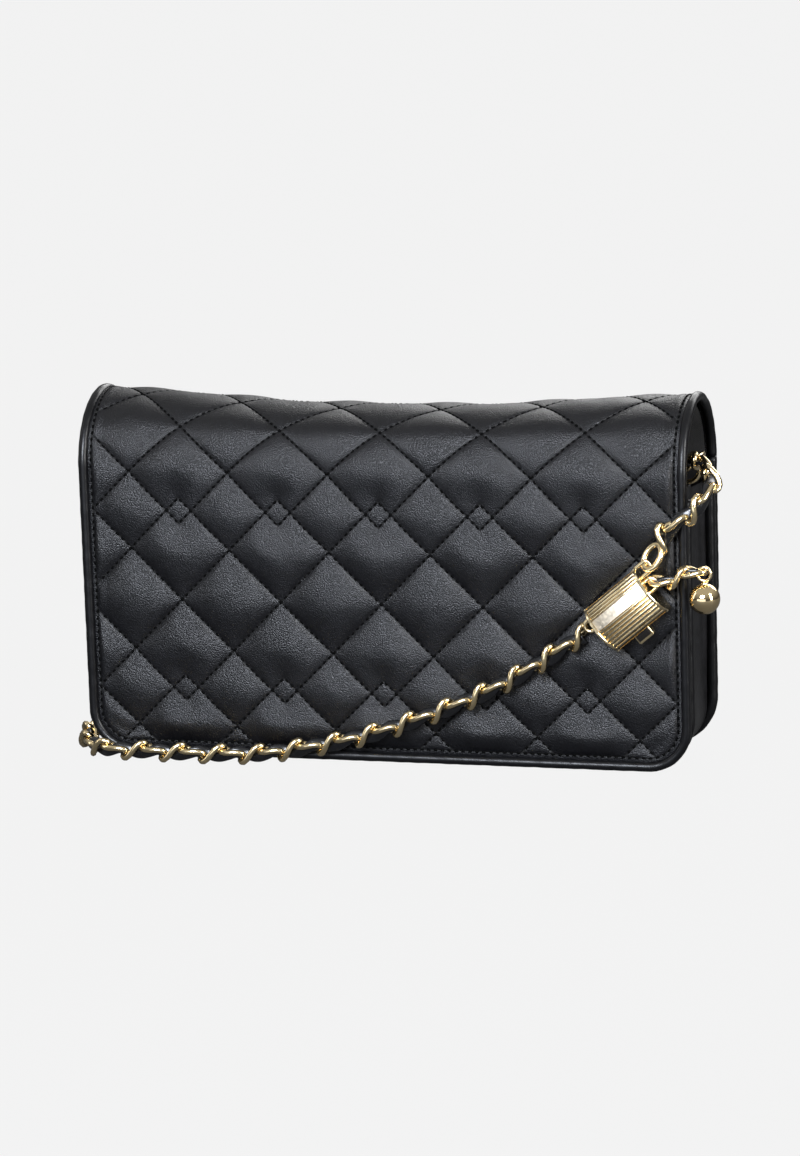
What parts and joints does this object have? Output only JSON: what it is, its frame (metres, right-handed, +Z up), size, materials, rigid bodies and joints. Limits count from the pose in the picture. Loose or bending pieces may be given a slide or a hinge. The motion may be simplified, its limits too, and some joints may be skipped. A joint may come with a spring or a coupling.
{
  "type": "clutch bag",
  "caption": "Small quilted leather clutch bag with a saddle flap over a rounded top, piped edges, folded side gussets and a woven chain strap with a fluted sliding lock and ball end.",
  "frame": {"origin": "on the floor, under the middle of the bag's body without its strap", "axes": "+X along the bag's width to its right side as seen from the front, +Y towards the back, +Z up; the front faces -Y"},
  "size_m": [0.2438, 0.1361, 0.1306],
  "materials": {
    "black_leather": "black fine-grained calf leather with a soft sheen",
    "black_lining": "black matte lining",
    "gold_metal": "pale gold plating, polished",
    "woven_chain": "pale gold chain links woven with a glossy black leather strip"
  },
  "bodies": {
    "bag": {"rear_flap": "black_leather", "rear_flap_piping": "black_leather", "front_wall": "black_leather", "back_panel": "black_leather", "gusset": "black_leather", "front_piping": "black_leather", "back_piping": "black_leather", "front_binding": "black_leather", "back_binding": "black_leather", "slip_pocket": "black_leather", "card_slot_upper": "black_leather", "card_slot_lower": "black_leather", "ring_tab_right": "black_leather", "ring_tab_left": "black_leather", "body_lining": "black_lining", "snap_socket": "gold_metal", "tab_rivet_right": "gold_metal", "tab_rivet_left": "gold_metal", "strap_coil": "woven_chain", "strap_rear": "woven_chain"},
    "flap": {"flap_panel": "black_leather", "flap_lining": "black_lining", "flap_piping": "black_leather", "snap_stud": "gold_metal", "lock_barrel": "gold_metal", "lock_end_plate_upper": "gold_metal", "lock_end_plate_lower": "gold_metal", "lock_bail": "gold_metal", "lock_tail_eye": "gold_metal", "lock_strap_eye": "gold_metal", "tail_link_1": "gold_metal", "tail_link_2": "gold_metal", "tail_link_3": "gold_metal", "strap_upper": "woven_chain", "strap_front": "woven_chain"},
    "button": {"lock_button": "gold_metal"},
    "ball": {"tail_ball": "gold_metal", "tail_ball_loop": "gold_metal"},
    "ring_right": {"side_ring_right": "gold_metal"},
    "ring_left": {"side_ring_left": "gold_metal"}
  },
  "joints": [
    {"name": "flap_hinge", "type": "hinge", "parent": "bag", "child": "flap", "pos_m": [0, 0.0266, 0.10385], "axis": [-1, 0, 0], "range_deg": [0, 150], "deforming": ["strap_upper", "strap_front"]},
    {"name": "button_press", "type": "slide", "parent": "flap", "child": "button", "axis": [-0.6401, 0, 0.7683], "range_m": [0, 0.0012], "stiffness_N_per_m": 300},
    {"name": "ball_swing", "type": "hinge", "parent": "flap", "child": "ball", "pos_m": [0.11684, -0.0316, 0.07371], "axis": [0, -1, 0], "range_deg": [-5, 60]},
    {"name": "ring_right_swing", "type": "hinge", "parent": "bag", "child": "ring_right", "pos_m": [0.1042, 0.00205, 0.0987], "axis": [1, 0, 0], "range_deg": [-25, 25], "deforming": ["strap_upper"]},
    {"name": "ring_left_swing", "type": "hinge", "parent": "bag", "child": "ring_left", "pos_m": [-0.1042, 0.00205, 0.0987], "axis": [1, 0, 0], "range_deg": [-25, 25], "deforming": ["strap_rear"]}
  ]
}
